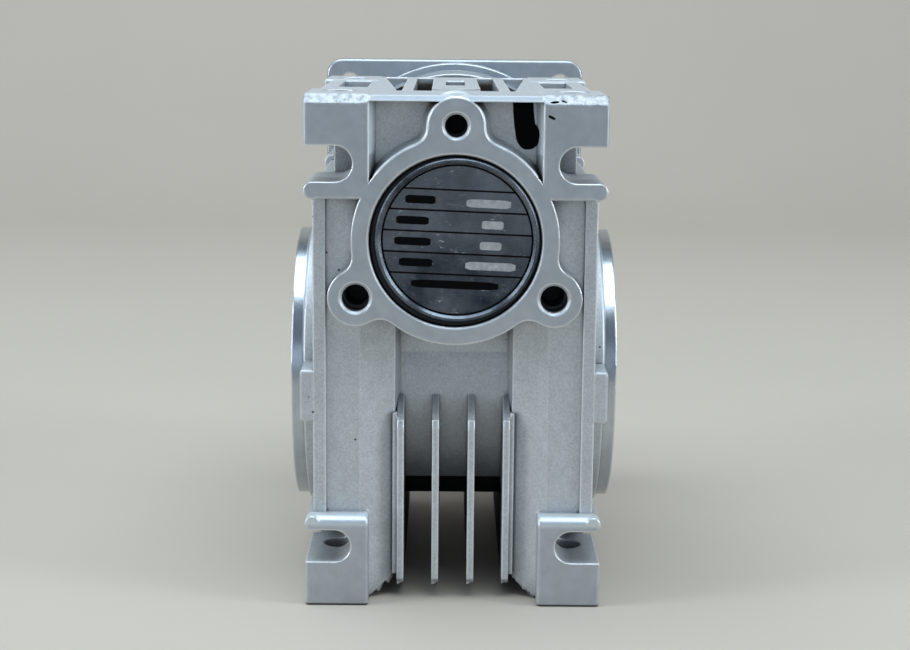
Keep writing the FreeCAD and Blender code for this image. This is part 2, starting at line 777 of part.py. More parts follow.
def make_side_cover():
    """The round cover on the right: centring boss, four screw ears, disc and spigot."""
    solids = [
        cylinder("cover_boss", "X", "cover_bore_r-play", "bearing_face_x+cover_gap",
                 "cover_floor_x+over"),
        cylinder("cover_disc", "X", "disc_r", "cover_floor_x", "disc_x"),
        cylinder("cover_spigot", "X", "spigot_r", "disc_x-over", "spigot_x"),
    ]
    tools = [
        cylinder("cover_seat", "X", "seat_r+fit_play", "bearing_face_x-over", "shoulder_x"),
        cylinder("cover_shoulder", "X", "shoulder_r", "shoulder_x-over", "shoulder_end_x+over"),
        cylinder("cover_seal_seat", "X", "seat_r+fit_play", "shoulder_end_x", "spigot_x+over"),
        cut("cover_groove",
            cylinder("groove_out", "X", "cover_bore_r+over", "ring_x-ring_space",
                     "ring_x+ring_space"),
            [cylinder("groove_in", "X", "cover_bore_r-ring_groove_deep", "ring_x-ring_space-over",
                      "ring_x+ring_space+over")]),
    ]
    for index in range(4):
        angle = math.radians(45 + 90 * index)
        centre = (f"cover_ear_pitch_r*{math.cos(angle):.6f}",
                  f"cover_ear_pitch_r*{math.sin(angle):.6f}")
        solids.append(cylinder(f"cover_ear_{index}", "X", "cover_ear_r", "cover_floor_x",
                               "wall_x", centre))
        tools.append(cylinder(f"cover_hole_{index}", "X", "cover_hole_r",
                              "cover_floor_x-over", "wall_x+over", centre))
        radii = ("cover_screw_r+cover_head_gap", "cover_head_r+cover_head_gap")
        tools.append(cone(f"cover_sink_{index}", "X", radii, "wall_x-cover_head_tall",
                          "wall_x+play", centre))
    return node(cut("cover_cut", fuse("cover_blank", solids), tools), "side_cover")


def make_cover_screws():
    """Four countersunk screws with hexagon sockets."""
    screws = []
    for index in range(4):
        angle = math.radians(45 + 90 * index)
        centre = (f"cover_ear_pitch_r*{math.cos(angle):.6f}",
                  f"cover_ear_pitch_r*{math.sin(angle):.6f}")
        shank = cylinder(f"screw_shank_{index}", "X", "cover_screw_r-fit_play",
                         "cover_floor_x-cover_screw_deep", "wall_x-over", centre)
        head = cone(f"screw_head_{index}", "X", ("cover_screw_r", "cover_head_r"),
                    "wall_x-cover_head_tall", "wall_x-play", centre)
        socket = hexagon(f"screw_socket_{index}", "X", "cover_socket_r",
                         "wall_x-cover_socket_deep", "cover_socket_deep+over", centre)
        screws.append(cut(f"screw_{index}", fuse(f"screw_solid_{index}", [shank, head]), [socket]))
    return node(group("cover_screw_group", screws), "side_cover_screws")


def flange_screw_centres():
    """The three places round the worm axis where screws hold the motor flange."""
    for index in range(3):
        angle = math.radians(90 + 120 * index)
        yield index, (f"ear_pitch_r*{math.cos(angle):.6f}",
                      f"centre_distance+ear_pitch_r*{math.sin(angle):.6f}")


def make_motor_flange():
    """The square motor flange on its round hub, with a pilot recess and four tapped holes."""
    axis = ("0", "centre_distance")
    hub = cylinder("flange_hub", "Y", "flange_hub_r", "flange_start_y", "flange_plate_y+over", axis)
    step = cylinder("flange_step", "Y", "flange_step_r", "flange_step_y", "flange_plate_y+over",
                    axis)
    plate = box("flange_plate", ("-flange_half", "flange_plate_y", "centre_distance-flange_half"),
                ("flange_half", "flange_end_y", "centre_distance+flange_half"))

    rounded = soften("flange_rounded", plate,
                     lambda edge: "flange_corner_r" if edge.BoundBox.YLength > 1 else None)
    rounded = soften("flange_softened", rounded,
                     lambda edge: "edge_round" if edge.BoundBox.YLength < 0.01 else None)
    tools = [
        cylinder("flange_bore", "Y", "flange_bore_r", "flange_start_y-over", "flange_end_y+over",
                 axis),
        cylinder("flange_pilot", "Y", "pilot_r", "flange_end_y-pilot_deep", "flange_end_y+over",
                 axis),
    ]
    for x_name, x_sign in SIDES:
        for z_name, z_sign in (("low", "-"), ("high", "+")):
            centre = (f"{x_sign}motor_hole_half", f"centre_distance{z_sign}motor_hole_half")
            tools.append(cylinder(f"motor_hole_{x_name}_{z_name}", "Y", "motor_hole_r",
                                  "flange_plate_y-over", "flange_end_y+over", centre))
    for index, centre in flange_screw_centres():
        tools.append(cylinder(f"flange_hole_{index}", "Y", "flange_hole_r",
                              "flange_start_y-over", "flange_end_y", centre))
        tools.append(cylinder(f"flange_sink_{index}", "Y", "flange_head_r+flange_head_gap",
                              "flange_end_y-flange_head_deep", "flange_end_y+over", centre))
    blank = fuse("flange_blank", [hub, step, rounded])
    return node(cut("flange_cut", blank, tools), "motor_flange")


def make_gasket():
    """The flat gasket between the case and the motor flange."""
    axis = ("0", "centre_distance")
    sheet_ring = cylinder("gasket_sheet", "Y", "flange_hub_r-edge_round", "end_y+hairline",
                          "flange_start_y-hairline", axis)
    tools = [cylinder("gasket_middle", "Y", "motor_bore_r", "end_y-over", "end_y+2", axis)]
    for index, centre in flange_screw_centres():
        tools.append(cylinder(f"gasket_hole_{index}", "Y", "flange_hole_r", "end_y-over",
                              "end_y+2", centre))
    return node(cut("gasket_cut", sheet_ring, tools), "motor_flange_gasket")


def make_flange_screws():
    """Three socket head screws that hold the motor flange."""
    screws = []
    for index, centre in flange_screw_centres():
        seat = "flange_end_y-flange_head_deep"
        shank = cylinder(f"flange_shank_{index}", "Y", "flange_screw_r",
                         "end_y-flange_thread_deep", f"{seat}+over", centre)
        head = cylinder(f"flange_head_{index}", "Y", "flange_head_r", seat,
                        f"{seat}+flange_head_tall", centre)
        socket = hexagon(f"flange_socket_{index}", "Y", "flange_socket_r",
                         f"{seat}+flange_head_tall/2", "flange_head_tall", centre)
        screws.append(cut(f"flange_screw_{index}",
                          fuse(f"flange_screw_solid_{index}", [shank, head]), [socket]))
    return node(group("flange_screw_group", screws), "motor_flange_screws")


def torus(label, axis, ring_r, tube_r, centre):
    """A round ring about an axis."""
    ring = add("Part::Torus", label)
    ring.Placement = Placement(Vector(), TURN[axis])
    ring.setExpression("Radius1", bound(ring_r))
    ring.setExpression("Radius2", bound(tube_r))
    place(ring, centre)
    return ring


def make_seals_and_caps():
    """O-rings, circlips, oil seals with their springs, the rubber end cap and its plate."""
    node(torus("cover_ring", "X", "cover_bore_r-ring_groove_deep/2", "ring_r",
               ("ring_x", "0", "0")), "side_cover_o_ring")
    cap = turned("cap_solid", [
        ("-end_y+cap_sink", "0"), ("-end_y+cap_sink", "blind_bore_r-play-cap_bevel"),
        ("-end_y+cap_sink+cap_bevel", "blind_bore_r-play"), ("-end_y+cap_w", "blind_bore_r-play"),
        ("-end_y+cap_w", "blind_bore_r-cap_wall"), ("-end_y+cap_web", "blind_bore_r-cap_wall"),
        ("-end_y+cap_web", "0"),
    ], along_worm=True)
    seat = cylinder("cap_seat", "Y", "cap_plate_r+play", "-end_y-over", "-end_y+cap_seat_deep",
                    ("cap_plate_x", "centre_distance+cap_plate_z"))
    node(cut("cap_cut", cap, [seat]), "end_cap")
    plate = turned("plate_solid", [
        ("-end_y+plate_sink", "0"), ("-end_y+cap_seat_deep-fit_play", "0"),
        ("-end_y+cap_seat_deep-fit_play", "cap_plate_r"),
        ("-end_y+plate_rim_w-plate_rim_rise", "cap_plate_r"),
        ("-end_y-plate_rim_rise", "cap_plate_r-plate_rim_w"),
        ("-end_y-plate_rim_rise", "cap_plate_r-2*plate_rim_w"),
        ("-end_y+plate_sink", "cap_plate_r-plate_rim_slope"),
    ], along_worm=True)
    plate.Placement = Placement(
        WORM_PLACE.Base + Vector(value("cap_plate_x"), 0, value("cap_plate_z")),
        WORM_PLACE.Rotation)
    node(plate, "nameplate")
    node(make_circlip("blind_end", "blind_bore_r", "-blind_clip_y", "-clip_y"),
         "blind_end_circlip")
    node(make_circlip("motor_end", "motor_bore_r", "clip_y", "motor_clip_y"),
         "motor_end_circlip")
    node(make_oil_seal("worm_seal", "seal_y", "seal_y+seal_w", "worm_motor_r", "motor_bore_r",
                       True), "worm_oil_seal")
    node(torus("worm_spring", "Y", "worm_motor_r+spring_reach", "spring_r",
               ("0", "seal_y+spring_in", "centre_distance")), "worm_seal_spring")
    for name, sign in SIDES:
        inner, outer = f"{sign}(shoulder_end_x+play)", f"{sign}(shoulder_end_x+seal_w)"
        node(make_oil_seal(f"output_seal_{name}", inner, outer, "shaft_r", "seat_r", False),
             f"output_oil_seal_{name}")
        node(torus(f"output_spring_{name}", "X", "shaft_r+spring_reach", "spring_r",
                   (f"{sign}(shoulder_end_x+play+spring_in)", "0", "0")),
             f"output_seal_spring_{name}")


def make_circlip(name, bore, start, stop):
    """An internal circlip: an open ring with two eyes for the pliers."""
    axis = ("0", "centre_distance")
    ring = cut(f"{name}_clip_ring",
               cylinder(f"{name}_clip_out", "Y", f"{bore}+clip_bite-play", start, stop, axis),
               [cylinder(f"{name}_clip_in", "Y", f"{bore}-clip_width", f"{start}-over",
                         f"{stop}+over", axis)])
    eyes, holes = [], []
    for side, sign in SIDES:
        centre = (f"{sign}clip_eye_x", f"centre_distance+{bore}-clip_eye_drop")
        eyes.append(cylinder(f"{name}_eye_{side}", "Y", "clip_eye_r", start, stop, centre))
        holes.append(cylinder(f"{name}_eye_hole_{side}", "Y", "clip_eye_hole_r", f"{start}-over",
                              f"{stop}+over", centre))
    gap = box(f"{name}_clip_gap", ("-clip_gap_half", f"{start}-over",
                                   f"centre_distance+{bore}-2*clip_eye_drop"),
              ("clip_gap_half", f"{stop}+over", f"centre_distance+{bore}+2*over"))
    return cut(f"{name}_clip", fuse(f"{name}_clip_solid", [ring] + eyes), holes + [gap])


# An oil seal's section: how far in from its outer face, or out from its inner one, and how far
# out from the shaft, or in from the seat. The two lips just clear the shaft.
SEAL_SECTION = [
    ("inner", 0.0, "seat", 0.02), ("outer", 0.6, "seat", 0.02), ("outer", 0.0, "seat", 0.6),
    ("outer", 0.0, "shaft", 1.4), ("outer", 0.9, "shaft", 0.06), ("outer", 1.5, "shaft", 0.6),
    ("outer", 3.6, "shaft", 0.9), ("inner", 2.6, "shaft", 0.06), ("inner", 0.7, "shaft", 0.7),
    ("inner", 0.7, "shaft", 1.3), ("outer", 2.6, "shaft", 2.6), ("outer", 2.0, "seat", 1.6),
    ("inner", 0.0, "seat", 1.6),
]


def make_oil_seal(label, inner, outer, shaft, seat, along_worm):
    """A rubber covered oil seal with a main lip and a dust lip."""
    way = "" if value(outer) > value(inner) else "-"
    starts = {"inner": (inner, f"+{way}"), "outer": (outer, f"-{way}")}
    edges = {"shaft": f"{shaft}+", "seat": f"{seat}-"}
    profile = []
    for face, distance, edge, gap in SEAL_SECTION:
        start, sign = starts[face]
        profile.append((f"({start}){sign}{distance}", f"{edges[edge]}{gap}"))
    return turned(label, profile, along_worm)


# ---- Bearings -------------------------------------------------------------------------------


def make_bearing(name, along_worm, start, width, inner_r, outer_r, ball_r, count):
    """A deep groove ball bearing: two grooved rings, a set of balls and their cage."""
    axis, stop = ("Y" if along_worm else "X"), f"({start})+({width})"
    middle, pitch = f"({start})+({width})/2", f"({inner_r}+{outer_r})/2"
    centre = ("0", middle, "centre_distance") if along_worm else (middle, "0", "0")
    wall = f"({outer_r}-({inner_r}))*race_share"
    for part, low, high in (("outer", f"{outer_r}-{wall}", outer_r),
                            ("inner", inner_r, f"{inner_r}+{wall}")):
        ring = turned(f"{name}_{part}_blank", ring_profile(start, stop, low, high), along_worm)
        groove = torus(f"{name}_{part}_groove", axis, pitch, f"{ball_r}+race_play", centre)
        node(cut(f"{name}_{part}_cut", ring, [groove]), f"{name}_bearing_{part}_ring")
    balls, pockets = [], []
    for index in range(count):
        angle = 2 * math.pi * index / count
        first, second = math.cos(angle), math.sin(angle)
        ball = add("Part::Sphere", f"{name}_ball_{index}")
        ball.setExpression("Radius", bound(ball_r))
        place(ball, (f"{pitch}*{first:.6f}", middle, f"centre_distance+{pitch}*{second:.6f}")
              if along_worm else (middle, f"{pitch}*{first:.6f}", f"{pitch}*{second:.6f}"))
        balls.append(ball)
        outward = Vector(first, 0, second) if along_worm else Vector(0, first, second)
        pocket = add("Part::Cylinder", f"{name}_pocket_{index}")
        pocket.setExpression("Radius", bound(f"{ball_r}+pocket_play"))
        pocket.setExpression("Height", bound(outer_r))
        pocket.Placement = Placement(Vector(), Rotation(Vector(0, 0, 1), outward))
        place(pocket, centre)
        pockets.append(pocket)
    node(group(f"{name}_ball_group", balls), f"{name}_bearing_balls")
    half = f"{ball_r}+cage_cover"
    cage = turned(f"{name}_cage_blank",
                  ring_profile(f"{middle}-({half})", f"{middle}+({half})",
                               f"{pitch}-cage_half_wall", f"{pitch}+cage_half_wall"), along_worm)
    node(cut(f"{name}_cage_cut", cage, pockets), f"{name}_bearing_cage")


def make_bearings():
    """The worm's two bearings and the output shaft's two."""
    make_bearing("blind_end", True, "-blind_shoulder_y-blind_bearing_w-small_step",
                 "blind_bearing_w", "worm_blind_r+fit_play", "blind_bore_r-fit_play",
                 "blind_ball_r", count=7)
    make_bearing("motor_end", True, "motor_shoulder_y", "motor_bearing_w",
                 "worm_motor_r+fit_play", "motor_bore_r-fit_play", "motor_ball_r", count=11)
    for side, start in (("left", "-shoulder_x+fit_play"),
                        ("right", "shoulder_x-fit_play-output_bearing_w")):
        make_bearing(f"{side}_output", False, start, "output_bearing_w", "shaft_r+fit_play",
                     "seat_r", "output_ball_r", count=10)


# ---- Worm, wheel and shafts -----------------------------------------------------------------


def polar(radius, angle, across=0.0):
    """A point round the output axis. The angle is turned about +X from straight up."""
    return Vector(across, -radius * math.sin(angle), radius * math.cos(angle))


def wheel_section(across, twist):
    """The toothed outline of the wheel at one station, with a tooth gap on the twist angle."""
    module, teeth = value("gear_module"), int(value("wheel_teeth"))
    pitch_r = module * teeth / 2
    base_r = pitch_r * math.cos(math.radians(value("pressure_angle")))
    root_r, tip_r = pitch_r - value("root_share") * module, pitch_r + module
    half_tooth = (math.pi * module / 2 - value("tooth_backlash")) / 2 / pitch_r

    def flank(radius):
        roll = math.acos(base_r / max(radius, base_r))
        start = math.acos(base_r / pitch_r)
        return half_tooth + (math.tan(start) - start) - (math.tan(roll) - roll)

    stations = [root_r, base_r, (base_r + pitch_r) / 2, pitch_r, (pitch_r + tip_r) / 2, tip_r]
    outline = []
    for index in range(teeth):
        middle = twist + 2 * math.pi * (index + 0.5) / teeth
        outline += [polar(radius, middle - flank(radius), across) for radius in stations]
        outline += [polar(radius, middle + flank(radius), across) for radius in stations[::-1]]
    return Part.makePolygon(outline + outline[:1])


def make_wheel():
    """The bronze toothed rim on its steel hub, which is the hollow output shaft."""
    half, lead = value("wheel_half_width"), math.pi * value("gear_module*worm_starts")
    pitch_r = value("gear_module*wheel_teeth/2")
    slope = lead / (2 * math.pi * value("worm_pitch_r")) / pitch_r
    sections = [wheel_section(across, across * slope) for across in (-half, 0, half)]
    toothed = Part.makeLoft(sections, True, True)
    reach = half + value("over")
    bore = Part.makeCylinder(value("rim_inner_r"), 2 * reach, Vector(-reach, 0, 0),
                             Vector(1, 0, 0))
    node(feature("rim_shape", toothed.cut(bore)), "wheel_rim")
    hub = turned("hub_blank", [
        ("-spigot_x", "hairline"), ("spigot_x", "hairline"), ("spigot_x", "shaft_r-shaft_bevel"),
        ("spigot_x-shaft_bevel", "shaft_r"), ("bearing_face_x", "shaft_r"),
        ("bearing_face_x-small_step", "hub_neck_r"), ("wheel_half_width-rim_step", "hub_web_r"),
        ("wheel_half_width-rim_step", "rim_inner_r-hairline"),
        ("-wheel_half_width+rim_step", "rim_inner_r-hairline"),
        ("-wheel_half_width+rim_step", "hub_web_r"), ("-bearing_face_x+small_step", "hub_neck_r"),
        ("-bearing_face_x", "shaft_r"), ("-spigot_x+shaft_bevel", "shaft_r"),
        ("-spigot_x", "shaft_r-shaft_bevel"),
    ])
    tools = [
        cylinder("hub_bore", "X", "shaft_bore_r", "-spigot_x-over", "spigot_x+over"),
        mouth("hub_mouth_left", "X", "shaft_bore_r", "-spigot_x", "-", "sink"),
        mouth("hub_mouth_right", "X", "shaft_bore_r", "spigot_x", "", "sink"),
        box("hub_keyway", ("-spigot_x-over", "-shaft_key_half", "0"),
            ("spigot_x+over", "shaft_key_half", "shaft_key_top")),
    ]
    node(cut("hub_cut", hub, tools), "output_shaft")


def worm_threads():
    """The worm's right-hand threads on their core, with one thread centred under the middle."""
    module, starts = value("gear_module"), int(value("worm_starts"))
    pitch_r, half_length = value("worm_pitch_r"), value("worm_half_length")
    lead = math.pi * module * starts
    root_r, tip_r = pitch_r - value("root_share") * module, pitch_r + module
    half_pitch = (math.pi * module / 2 - value("tooth_backlash")) / 2
    slope = math.tan(math.radians(value("pressure_angle")))
    inner_r = root_r - value("thread_overlap")
    root_half, tip_half = half_pitch + (pitch_r - inner_r) * slope, half_pitch - module * slope
    section = [(inner_r, -root_half), (tip_r, -tip_half), (tip_r, tip_half), (inner_r, root_half)]
    length = 2 * half_length + 2 * lead
    core = Part.makeCylinder(root_r, 2 * half_length)
    core.translate(Vector(0, 0, -half_length))
    keep = Part.makeCylinder(tip_r + value("over"), 2 * half_length)
    keep.translate(Vector(0, 0, -half_length))
    worm = core
    for index in range(starts):
        path = Part.Wire(Part.makeHelix(lead, length, inner_r))
        points = [Vector(radius, 0, along) for radius, along in section]
        thread = path.makePipeShell([Part.makePolygon(points + points[:1])], True, True)
        thread.translate(Vector(0, 0, -length / 2))
        middle_turn = 360.0 * (length / 2 / lead % 1.0)
        thread.rotate(Vector(), Vector(0, 0, 1), 360.0 * index / starts - middle_turn)
        worm = worm.fuse(thread.common(keep))
    return worm, root_r


def make_worm():
    """The worm shaft: threads, two journals, and a keyed hollow end for the motor."""
    threads, root_r = worm_threads()
    threads.rotate(Vector(), Vector(1, 0, 0), -90)
    threads.rotate(Vector(), Vector(0, 1, 0), 90)
    threads.translate(Vector(0, 0, value("centre_distance")))
    shank = turned("worm_blank", [
        ("-worm_start_y", "hairline"), ("worm_end_y", "hairline"),
        ("worm_end_y", "worm_motor_r-shaft_bevel"), ("worm_end_y-shaft_bevel", "worm_motor_r"),
        ("motor_shoulder_y", "worm_motor_r"),
        ("motor_shoulder_y-small_step", "worm_motor_r+motor_collar_rise"),
        ("motor_shoulder_y-motor_collar_w", "worm_motor_r+motor_collar_rise"),
        ("worm_half_length", "worm_neck_r"), ("-worm_half_length", "worm_neck_r"),
        ("-blind_shoulder_y+blind_collar_w", "blind_collar_r"),
        ("-blind_shoulder_y-fit_play", "blind_collar_r"),
        ("-blind_shoulder_y-small_step", "worm_blind_r"),
        ("-worm_start_y+shaft_bevel", "worm_blind_r"),
        ("-worm_start_y", "worm_blind_r-shaft_bevel"),
    ], along_worm=True)
    axis = ("0", "centre_distance")
    tools = [
        cylinder("worm_bore", "Y", "motor_bore_hole_r", "worm_end_y-motor_bore_deep",
                 "worm_end_y+over", axis),
        mouth("worm_mouth", "Y", "motor_bore_hole_r", "worm_end_y", "", "mouth", axis),
        box("worm_keyway", ("-motor_key_half", "worm_end_y-motor_bore_deep+motor_key_start",
                            "centre_distance"),
            ("motor_key_half", "worm_end_y+over", "centre_distance+motor_key_top")),
    ]
    whole = fuse("worm_solid", [shank, feature("worm_threads", threads)])
    node(cut("worm_cut", whole, tools), "worm_shaft")


def check_document():
    """Stops the build when an object has failed or a piece isn't a sound solid."""
    doc.recompute()
    for thing in doc.Objects:
        if "Invalid" in thing.State or "Error" in thing.State:
            raise RuntimeError(f"{thing.Label} failed: {thing.State}")
    for piece in NODES:
        shape = piece.Shape
        if shape.isNull() or not shape.isValid() or not shape.Solids:
            raise RuntimeError(f"{piece.Label} has no sound solid")


def main():
    """Makes every piece, checks the document and writes the STEP files."""
    make_housing()
    make_side_cover()
    make_cover_screws()
    make_motor_flange()
    make_gasket()
    make_flange_screws()
    make_seals_and_caps()
    make_bearings()
    make_wheel()
    make_worm()
    check_document()
    os.makedirs("parts", exist_ok=True)
    for piece in NODES:
        piece.Shape.exportStep(f"parts/{piece.Label}.step")
        print(f"{piece.Label}: {len(piece.Shape.Solids)} solids, {piece.Shape.Volume:.1f} mm3")


main()
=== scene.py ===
"""The looks of a size 30 worm gear reducer: materials, plate print, threads, flash and stage."""

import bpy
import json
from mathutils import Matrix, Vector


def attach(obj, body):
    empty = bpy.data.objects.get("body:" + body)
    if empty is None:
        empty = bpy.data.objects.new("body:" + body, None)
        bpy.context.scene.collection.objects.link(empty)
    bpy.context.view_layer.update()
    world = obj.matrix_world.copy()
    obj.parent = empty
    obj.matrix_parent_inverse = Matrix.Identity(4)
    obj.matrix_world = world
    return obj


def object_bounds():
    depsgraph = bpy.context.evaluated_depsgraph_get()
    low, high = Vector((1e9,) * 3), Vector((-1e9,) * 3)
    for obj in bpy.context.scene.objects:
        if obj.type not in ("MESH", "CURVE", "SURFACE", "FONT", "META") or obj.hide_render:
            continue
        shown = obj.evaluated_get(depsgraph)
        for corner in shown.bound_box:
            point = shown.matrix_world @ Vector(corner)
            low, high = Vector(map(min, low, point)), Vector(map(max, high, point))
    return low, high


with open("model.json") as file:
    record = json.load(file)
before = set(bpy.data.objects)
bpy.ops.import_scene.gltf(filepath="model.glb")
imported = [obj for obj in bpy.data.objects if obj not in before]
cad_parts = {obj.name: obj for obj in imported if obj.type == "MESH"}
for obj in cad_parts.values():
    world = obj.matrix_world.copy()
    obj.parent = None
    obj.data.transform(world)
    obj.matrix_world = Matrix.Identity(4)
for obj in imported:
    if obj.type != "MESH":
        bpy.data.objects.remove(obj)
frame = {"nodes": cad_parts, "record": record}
CAD_BOX = [list(corner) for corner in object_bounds()]

import json
import math

import bmesh
import bpy
from mathutils import Matrix, Vector, noise

MM = 0.001
NODES = frame["nodes"]

# Sizes of the case in millimetres. X runs along the output axis and Y along the worm axis.
FLOOR_Z = CAD_BOX[0][2] / MM
WORM_Z = 30.0
FACE_Y = -40.0
POCKET_Y = -36.0
TUBE_R = 19.3
EAR_R = 5.25
EAR_PITCH_R = 21.3
EAR_BLEND = 3.5
OUTPUT_PITCH_R = 32.5
FIN_X = (-10.1, -3.4, 3.4, 10.1)

# Where the lugs begin, and where the milled faces and the turned spigots begin.
LUG_X = 15.7
MILLED_Y = 39.75
MILLED_X = 28.85
TURNED_X = 29.4


# ---- Node material helpers ------------------------------------------------------------------


class Shader:
    """Builds one node material around a Principled shader."""

    def __init__(self, name, **settings):
        self.material = bpy.data.materials.new(name)
        self.material.use_nodes = True
        self.tree = self.material.node_tree
        self.principled = self.tree.nodes["Principled BSDF"]
        for socket, number in settings.items():
            self.principled.inputs[socket.replace("_", " ")].default_value = number
        self.place = self.add("ShaderNodeTexCoord").outputs["Object"]

    def add(self, kind, **settings):
        node = self.tree.nodes.new(kind)
        for key, setting in settings.items():
            setattr(node, key, setting)
        return node

    def link(self, source, target):
        self.tree.links.new(source, target)

    def set(self, socket, source):
        self.link(source, self.principled.inputs[socket])

    def noise(self, scale, detail=4.0, roughness=0.6, place=None):
        """Noise at a scale in lumps to the metre."""
        node = self.add("ShaderNodeTexNoise")
        node.inputs["Scale"].default_value = scale
        node.inputs["Detail"].default_value = detail
        node.inputs["Roughness"].default_value = roughness
        self.link(place or self.place, node.inputs["Vector"])
        return node.outputs["Fac"]

    def cells(self, scale):
        """The distance to the nearest of scattered points."""
        node = self.add("ShaderNodeTexVoronoi")
        node.inputs["Scale"].default_value = scale
        self.link(self.place, node.inputs["Vector"])
        return node.outputs["Distance"]

    def stretched(self, stretch):
        """The place with each direction scaled, for marks that run one way."""
        node = self.add("ShaderNodeMapping")
        node.inputs["Scale"].default_value = stretch
        self.link(self.place, node.inputs["Vector"])
        return node.outputs["Vector"]

    def along(self, axis):
        """The place along one axis, in metres."""
        split = self.add("ShaderNodeSeparateXYZ")
        self.link(self.place, split.inputs["Vector"])
        return split.outputs[axis]

    def beyond(self, axis, edge, soft=0.1):
        """A mask of what lies further than edge millimetres from the middle along an axis."""
        distance = self.math("ABSOLUTE", self.along(axis), 0.0)
        return self.grey(distance, (edge - soft) * MM, (edge + soft) * MM)

    def above(self, level, soft=0.3):
        """A mask of what lies above a level in millimetres."""
        return self.grey(self.along("Z"), (level - soft) * MM, (level + soft) * MM)

    def opposite(self, mask):
        """A mask of everything that another mask leaves out."""
        return self.math("SUBTRACT", 1.0, mask)

    def all_of(self, first, *others):
        """A mask of what all the given masks hold."""
        for other in others:
            first = self.math("MULTIPLY", first, other)
        return first

    def share(self, mask, amount):
        """A mask at part of its strength."""
        return self.math("MULTIPLY", mask, amount)

    def grey(self, source, low, high):
        """A 0 to 1 mask that rises between two levels of the source."""
        node = self.add("ShaderNodeMapRange")
        node.inputs["From Min"].default_value = low
        node.inputs["From Max"].default_value = high
        self.link(source, node.inputs["Value"])
        return node.outputs["Result"]

    def ramp(self, source, stops):
        """A colour ramp between two (position, colour) stops."""
        node = self.add("ShaderNodeValToRGB")
        self.link(source, node.inputs["Fac"])
        for mark, (position, colour) in zip(node.color_ramp.elements, stops):
            mark.position = position
            mark.color = (*colour, 1.0)
        return node.outputs["Color"]

    def math(self, operation, first, second):
        """An operation on two numbers or outputs."""
        node = self.add("ShaderNodeMath", operation=operation)
        for socket, source in zip(node.inputs, (first, second)):
            if isinstance(source, (int, float)):
                socket.default_value = source
            else:
                self.link(source, socket)
        return node.outputs["Value"]

    def mix(self, factor, first, second):
        """Two colours or colour outputs mixed."""
        node = self.add("ShaderNodeMix", data_type="RGBA")
        factor_socket, first_socket, second_socket, result = 0, 6, 7, 2
        for index, source in ((factor_socket, factor), (first_socket, first),
                              (second_socket, second)):
            if isinstance(source, (int, float)):
                node.inputs[index].default_value = source
            elif isinstance(source, tuple):
                node.inputs[index].default_value = (*source, 1.0)
            else:
                self.link(source, node.inputs[index])
        return node.outputs[result]

    def bump(self, height, strength, distance, normal=None):
        """A bumped normal, on top of another if one is given."""
        node = self.add("ShaderNodeBump")
        node.inputs["Distance"].default_value = distance
        self.link(height, node.inputs["Height"])
        if isinstance(strength, (int, float)):
            node.inputs["Strength"].default_value = strength
        else:
            self.link(strength, node.inputs["Strength"])
        if normal:
            self.link(normal, node.inputs["Normal"])
        return node.outputs["Normal"]

    def rounded(self, radius):
        """Normals that soften edges within the radius."""
        node = self.add("ShaderNodeBevel", samples=6)
        node.inputs["Radius"].default_value = radius
        return node.outputs["Normal"]

    def edges(self, radius):
        """A mask that is near 1 on edges and 0 on flat stretches."""
        flat = self.add("ShaderNodeNewGeometry").outputs["Normal"]
        dot = self.add("ShaderNodeVectorMath", operation="DOT_PRODUCT")
        self.link(flat, dot.inputs[0])
        self.link(self.rounded(radius), dot.inputs[1])
        return self.grey(dot.outputs["Value"], 0.995, 0.93)

    def hollows(self, reach, low, high):
        """A mask that is 1 where less than the low share of the surroundings is open."""
        node = self.add("ShaderNodeAmbientOcclusion", samples=8)
        node.inputs["Distance"].default_value = reach
        return self.grey(node.outputs["AO"], high, low)


# ---- Materials ------------------------------------------------------------------------------


def lug_crest(m):
    """A mask of the lugs' rubbed top front edges."""
    return m.all_of(m.above(55.2), m.beyond("Y", 37.9, 0.4), m.beyond("X", LUG_X),
                    m.opposite(m.beyond("Y", 41.0)))


def deck_lip(m):
    """A mask of the sloping front edge of the deck, between the lugs."""
    return m.all_of(m.above(55.8, 0.05), m.beyond("Y", 38.75), m.opposite(m.beyond("X", LUG_X)),
                    m.opposite(m.beyond("Y", 39.9, 0.05)))


def belly_painted_shadow(m):
    """A mask of the belly between the outer fins, from its step downwards, where its shadow is
    painted.
    """
    outside = m.math("MAXIMUM", m.above(-19.8, 0.15), m.beyond("X", 10.45))
    return m.all_of(m.opposite(outside), m.opposite(m.beyond("Y", 27.2)))


def pocket_slope_highlight(m):
    """A mask of the steep sides of the end's top pocket, where a highlight is painted."""
    return m.all_of(m.above(46.0), m.opposite(m.above(55.6, 0.1)), m.beyond("X", 14.95, 0.05),
                    m.opposite(m.beyond("X", 16.2)), m.beyond("Y", 36.1),
                    m.opposite(m.beyond("Y", 39.85, 0.05)))


def foot_lip_highlight(m):
    """A mask of the round top front edges of the feet, where a highlight is painted."""
    return m.all_of(m.above(-24.3, 0.4), m.opposite(m.above(-22.2)), m.beyond("X", 15.9),
                    m.beyond("Y", 36.8))


